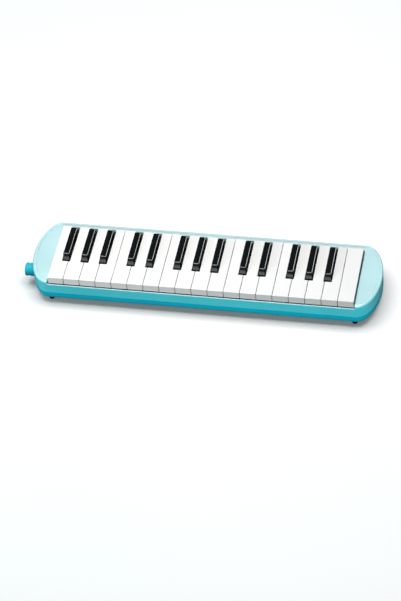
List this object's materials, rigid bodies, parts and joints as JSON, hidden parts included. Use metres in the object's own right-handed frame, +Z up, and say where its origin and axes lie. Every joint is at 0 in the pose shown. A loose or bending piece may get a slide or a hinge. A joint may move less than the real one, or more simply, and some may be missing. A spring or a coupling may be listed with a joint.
{
  "type": "melodica",
  "caption": "Melodica: a keyboard wind instrument with sprung piano keys that open valves over brass reeds, in a rounded two-part plastic case with a blow socket and a drain button.",
  "frame": {"origin": "centre of the object's box, on the plane that the feet stand on", "axes": "+X along the keyboard from bass to treble, +Y from the player's side to the rear, +Z up"},
  "size_m": [0.433, 0.105, 0.0475],
  "materials": {
    "body": "glossy moulded plastic",
    "lower_body": "glossy moulded plastic",
    "white_key": "glossy moulded plastic",
    "black_key": "glossy moulded plastic",
    "inner": "plain moulded plastic",
    "reed_brass": "stamped",
    "steel": "plain",
    "rubber": "matt",
    "felt": "pressed felt"
  },
  "bodies": {
    "case": {"upper_case": "body", "lower_case": "lower_body", "wind_chest": "inner", "chest_gasket": "rubber", "chest_cover": "inner", "reed_plate_bass": "reed_brass", "reed_plate_treble": "reed_brass", "key_shaft": "steel", "spring_comb": "steel", "key_stop_felt": "felt", "blow_socket": "lower_body", "socket_seal": "rubber", "air_duct": "inner", "drain_spring": "steel", "case_screw_1": "steel", "case_screw_2": "steel", "case_screw_3": "steel", "case_screw_4": "steel", "case_screw_5": "steel", "foot_front_bass": "rubber", "foot_front_treble": "rubber", "foot_rear_bass": "rubber", "foot_rear_treble": "rubber"},
    "drain_button": {"drain_button": "black_key", "drain_valve": "rubber"},
    "white_key_01": {"white_key_01": "white_key"},
    "white_key_02": {"white_key_02": "white_key"},
    "white_key_03": {"white_key_03": "white_key"},
    "white_key_04": {"white_key_04": "white_key"},
    "white_key_05": {"white_key_05": "white_key"},
    "white_key_06": {"white_key_06": "white_key"},
    "white_key_07": {"white_key_07": "white_key"},
    "white_key_08": {"white_key_08": "white_key"},
    "white_key_09": {"white_key_09": "white_key"},
    "white_key_10": {"white_key_10": "white_key"},
    "white_key_11": {"white_key_11": "white_key"},
    "white_key_12": {"white_key_12": "white_key"},
    "white_key_13": {"white_key_13": "white_key"},
    "white_key_14": {"white_key_14": "white_key"},
    "white_key_15": {"white_key_15": "white_key"},
    "white_key_16": {"white_key_16": "white_key"},
    "white_key_17": {"white_key_17": "white_key"},
    "white_key_18": {"white_key_18": "white_key"},
    "white_key_19": {"white_key_19": "white_key"},
    "black_key_01": {"black_key_01": "black_key"},
    "black_key_02": {"black_key_02": "black_key"},
    "black_key_03": {"black_key_03": "black_key"},
    "black_key_04": {"black_key_04": "black_key"},
    "black_key_05": {"black_key_05": "black_key"},
    "black_key_06": {"black_key_06": "black_key"},
    "black_key_07": {"black_key_07": "black_key"},
    "black_key_08": {"black_key_08": "black_key"},
    "black_key_09": {"black_key_09": "black_key"},
    "black_key_10": {"black_key_10": "black_key"},
    "black_key_11": {"black_key_11": "black_key"},
    "black_key_12": {"black_key_12": "black_key"},
    "black_key_13": {"black_key_13": "black_key"}
  },
  "joints": [
    {"name": "drain_button_push", "type": "slide", "parent": "case", "child": "drain_button", "axis": [0, 0, 1], "range_m": [0, 0.0018], "stiffness_N_per_m": 400, "springref_m": -0.004, "deforming": ["drain_spring"]},
    {"name": "white_key_01_hinge", "type": "hinge", "parent": "case", "child": "white_key_01", "pos_m": [-0.17535, 0.0247, 0.026], "axis": [1, 0, 0], "range_deg": [0, 3.7], "stiffness_Nm_per_rad": 0.5, "springref_deg": -5.73},
    {"name": "white_key_02_hinge", "type": "hinge", "parent": "case", "child": "white_key_02", "pos_m": [-0.1534, 0.0247, 0.026], "axis": [1, 0, 0], "range_deg": [0, 3.7], "stiffness_Nm_per_rad": 0.5, "springref_deg": -5.73},
    {"name": "white_key_03_hinge", "type": "hinge", "parent": "case", "child": "white_key_03", "pos_m": [-0.1307, 0.0247, 0.026], "axis": [1, 0, 0], "range_deg": [0, 3.7], "stiffness_Nm_per_rad": 0.5, "springref_deg": -5.73},
    {"name": "white_key_04_hinge", "type": "hinge", "parent": "case", "child": "white_key_04", "pos_m": [-0.10895, 0.0247, 0.026], "axis": [1, 0, 0], "range_deg": [0, 3.7], "stiffness_Nm_per_rad": 0.5, "springref_deg": -5.73},
    {"name": "white_key_05_hinge", "type": "hinge", "parent": "case", "child": "white_key_05", "pos_m": [-0.0966, 0.0247, 0.026], "axis": [1, 0, 0], "range_deg": [0, 3.7], "stiffness_Nm_per_rad": 0.5, "springref_deg": -5.73},
    {"name": "white_key_06_hinge", "type": "hinge", "parent": "case", "child": "white_key_06", "pos_m": [-0.07375, 0.0247, 0.026], "axis": [1, 0, 0], "range_deg": [0, 3.7], "stiffness_Nm_per_rad": 0.5, "springref_deg": -5.73},
    {"name": "white_key_07_hinge", "type": "hinge", "parent": "case", "child": "white_key_07", "pos_m": [-0.05115, 0.0247, 0.026], "axis": [1, 0, 0], "range_deg": [0, 3.7], "stiffness_Nm_per_rad": 0.5, "springref_deg": -5.73},
    {"name": "white_key_08_hinge", "type": "hinge", "parent": "case", "child": "white_key_08", "pos_m": [-0.03885, 0.0247, 0.026], "axis": [1, 0, 0], "range_deg": [0, 3.7], "stiffness_Nm_per_rad": 0.5, "springref_deg": -5.73},
    {"name": "white_key_09_hinge", "type": "hinge", "parent": "case", "child": "white_key_09", "pos_m": [-0.0169, 0.0247, 0.026], "axis": [1, 0, 0], "range_deg": [0, 3.7], "stiffness_Nm_per_rad": 0.5, "springref_deg": -5.73},
    {"name": "white_key_10_hinge", "type": "hinge", "parent": "case", "child": "white_key_10", "pos_m": [0.0058, 0.0247, 0.026], "axis": [1, 0, 0], "range_deg": [0, 3.7], "stiffness_Nm_per_rad": 0.5, "springref_deg": -5.73},
    {"name": "white_key_11_hinge", "type": "hinge", "parent": "case", "child": "white_key_11", "pos_m": [0.02755, 0.0247, 0.026], "axis": [1, 0, 0], "range_deg": [0, 3.7], "stiffness_Nm_per_rad": 0.5, "springref_deg": -5.73},
    {"name": "white_key_12_hinge", "type": "hinge", "parent": "case", "child": "white_key_12", "pos_m": [0.0399, 0.0247, 0.026], "axis": [1, 0, 0], "range_deg": [0, 3.7], "stiffness_Nm_per_rad": 0.5, "springref_deg": -5.73},
    {"name": "white_key_13_hinge", "type": "hinge", "parent": "case", "child": "white_key_13", "pos_m": [0.06275, 0.0247, 0.026], "axis": [1, 0, 0], "range_deg": [0, 3.7], "stiffness_Nm_per_rad": 0.5, "springref_deg": -5.73},
    {"name": "white_key_14_hinge", "type": "hinge", "parent": "case", "child": "white_key_14", "pos_m": [0.08535, 0.0247, 0.026], "axis": [1, 0, 0], "range_deg": [0, 3.7], "stiffness_Nm_per_rad": 0.5, "springref_deg": -5.73},
    {"name": "white_key_15_hinge", "type": "hinge", "parent": "case", "child": "white_key_15", "pos_m": [0.09765, 0.0247, 0.026], "axis": [1, 0, 0], "range_deg": [0, 3.7], "stiffness_Nm_per_rad": 0.5, "springref_deg": -5.73},
    {"name": "white_key_16_hinge", "type": "hinge", "parent": "case", "child": "white_key_16", "pos_m": [0.1196, 0.0247, 0.026], "axis": [1, 0, 0], "range_deg": [0, 3.7], "stiffness_Nm_per_rad": 0.5, "springref_deg": -5.73},
    {"name": "white_key_17_hinge", "type": "hinge", "parent": "case", "child": "white_key_17", "pos_m": [0.1423, 0.0247, 0.026], "axis": [1, 0, 0], "range_deg": [0, 3.7], "stiffness_Nm_per_rad": 0.5, "springref_deg": -5.73},
    {"name": "white_key_18_hinge", "type": "hinge", "parent": "case", "child": "white_key_18", "pos_m": [0.16405, 0.0247, 0.026], "axis": [1, 0, 0], "range_deg": [0, 3.7], "stiffness_Nm_per_rad": 0.5, "springref_deg": -5.73},
    {"name": "white_key_19_hinge", "type": "hinge", "parent": "case", "child": "white_key_19", "pos_m": [0.1795, 0.0247, 0.026], "axis": [1, 0, 0], "range_deg": [0, 3.7], "stiffness_Nm_per_rad": 0.5, "springref_deg": -5.73},
    {"name": "black_key_01_hinge", "type": "hinge", "parent": "case", "child": "black_key_01", "pos_m": [-0.16475, 0.0247, 0.026], "axis": [1, 0, 0], "range_deg": [0, 3.7], "stiffness_Nm_per_rad": 0.5, "springref_deg": -5.73},
    {"name": "black_key_02_hinge", "type": "hinge", "parent": "case", "child": "black_key_02", "pos_m": [-0.14205, 0.0247, 0.026], "axis": [1, 0, 0], "range_deg": [0, 3.7], "stiffness_Nm_per_rad": 0.5, "springref_deg": -5.73},
    {"name": "black_key_03_hinge", "type": "hinge", "parent": "case", "child": "black_key_03", "pos_m": [-0.11935, 0.0247, 0.026], "axis": [1, 0, 0], "range_deg": [0, 3.7], "stiffness_Nm_per_rad": 0.5, "springref_deg": -5.73},
    {"name": "black_key_04_hinge", "type": "hinge", "parent": "case", "child": "black_key_04", "pos_m": [-0.08525, 0.0247, 0.026], "axis": [1, 0, 0], "range_deg": [0, 3.7], "stiffness_Nm_per_rad": 0.5, "springref_deg": -5.73},
    {"name": "black_key_05_hinge", "type": "hinge", "parent": "case", "child": "black_key_05", "pos_m": [-0.06225, 0.0247, 0.026], "axis": [1, 0, 0], "range_deg": [0, 3.7], "stiffness_Nm_per_rad": 0.5, "springref_deg": -5.73},
    {"name": "black_key_06_hinge", "type": "hinge", "parent": "case", "child": "black_key_06", "pos_m": [-0.02825, 0.0247, 0.026], "axis": [1, 0, 0], "range_deg": [0, 3.7], "stiffness_Nm_per_rad": 0.5, "springref_deg": -5.73},
    {"name": "black_key_07_hinge", "type": "hinge", "parent": "case", "child": "black_key_07", "pos_m": [-0.00555, 0.0247, 0.026], "axis": [1, 0, 0], "range_deg": [0, 3.7], "stiffness_Nm_per_rad": 0.5, "springref_deg": -5.73},
    {"name": "black_key_08_hinge", "type": "hinge", "parent": "case", "child": "black_key_08", "pos_m": [0.01715, 0.0247, 0.026], "axis": [1, 0, 0], "range_deg": [0, 3.7], "stiffness_Nm_per_rad": 0.5, "springref_deg": -5.73},
    {"name": "black_key_09_hinge", "type": "hinge", "parent": "case", "child": "black_key_09", "pos_m": [0.05125, 0.0247, 0.026], "axis": [1, 0, 0], "range_deg": [0, 3.7], "stiffness_Nm_per_rad": 0.5, "springref_deg": -5.73},
    {"name": "black_key_10_hinge", "type": "hinge", "parent": "case", "child": "black_key_10", "pos_m": [0.07425, 0.0247, 0.026], "axis": [1, 0, 0], "range_deg": [0, 3.7], "stiffness_Nm_per_rad": 0.5, "springref_deg": -5.73},
    {"name": "black_key_11_hinge", "type": "hinge", "parent": "case", "child": "black_key_11", "pos_m": [0.10825, 0.0247, 0.026], "axis": [1, 0, 0], "range_deg": [0, 3.7], "stiffness_Nm_per_rad": 0.5, "springref_deg": -5.73},
    {"name": "black_key_12_hinge", "type": "hinge", "parent": "case", "child": "black_key_12", "pos_m": [0.13095, 0.0247, 0.026], "axis": [1, 0, 0], "range_deg": [0, 3.7], "stiffness_Nm_per_rad": 0.5, "springref_deg": -5.73},
    {"name": "black_key_13_hinge", "type": "hinge", "parent": "case", "child": "black_key_13", "pos_m": [0.15365, 0.0247, 0.026], "axis": [1, 0, 0], "range_deg": [0, 3.7], "stiffness_Nm_per_rad": 0.5, "springref_deg": -5.73}
  ]
}
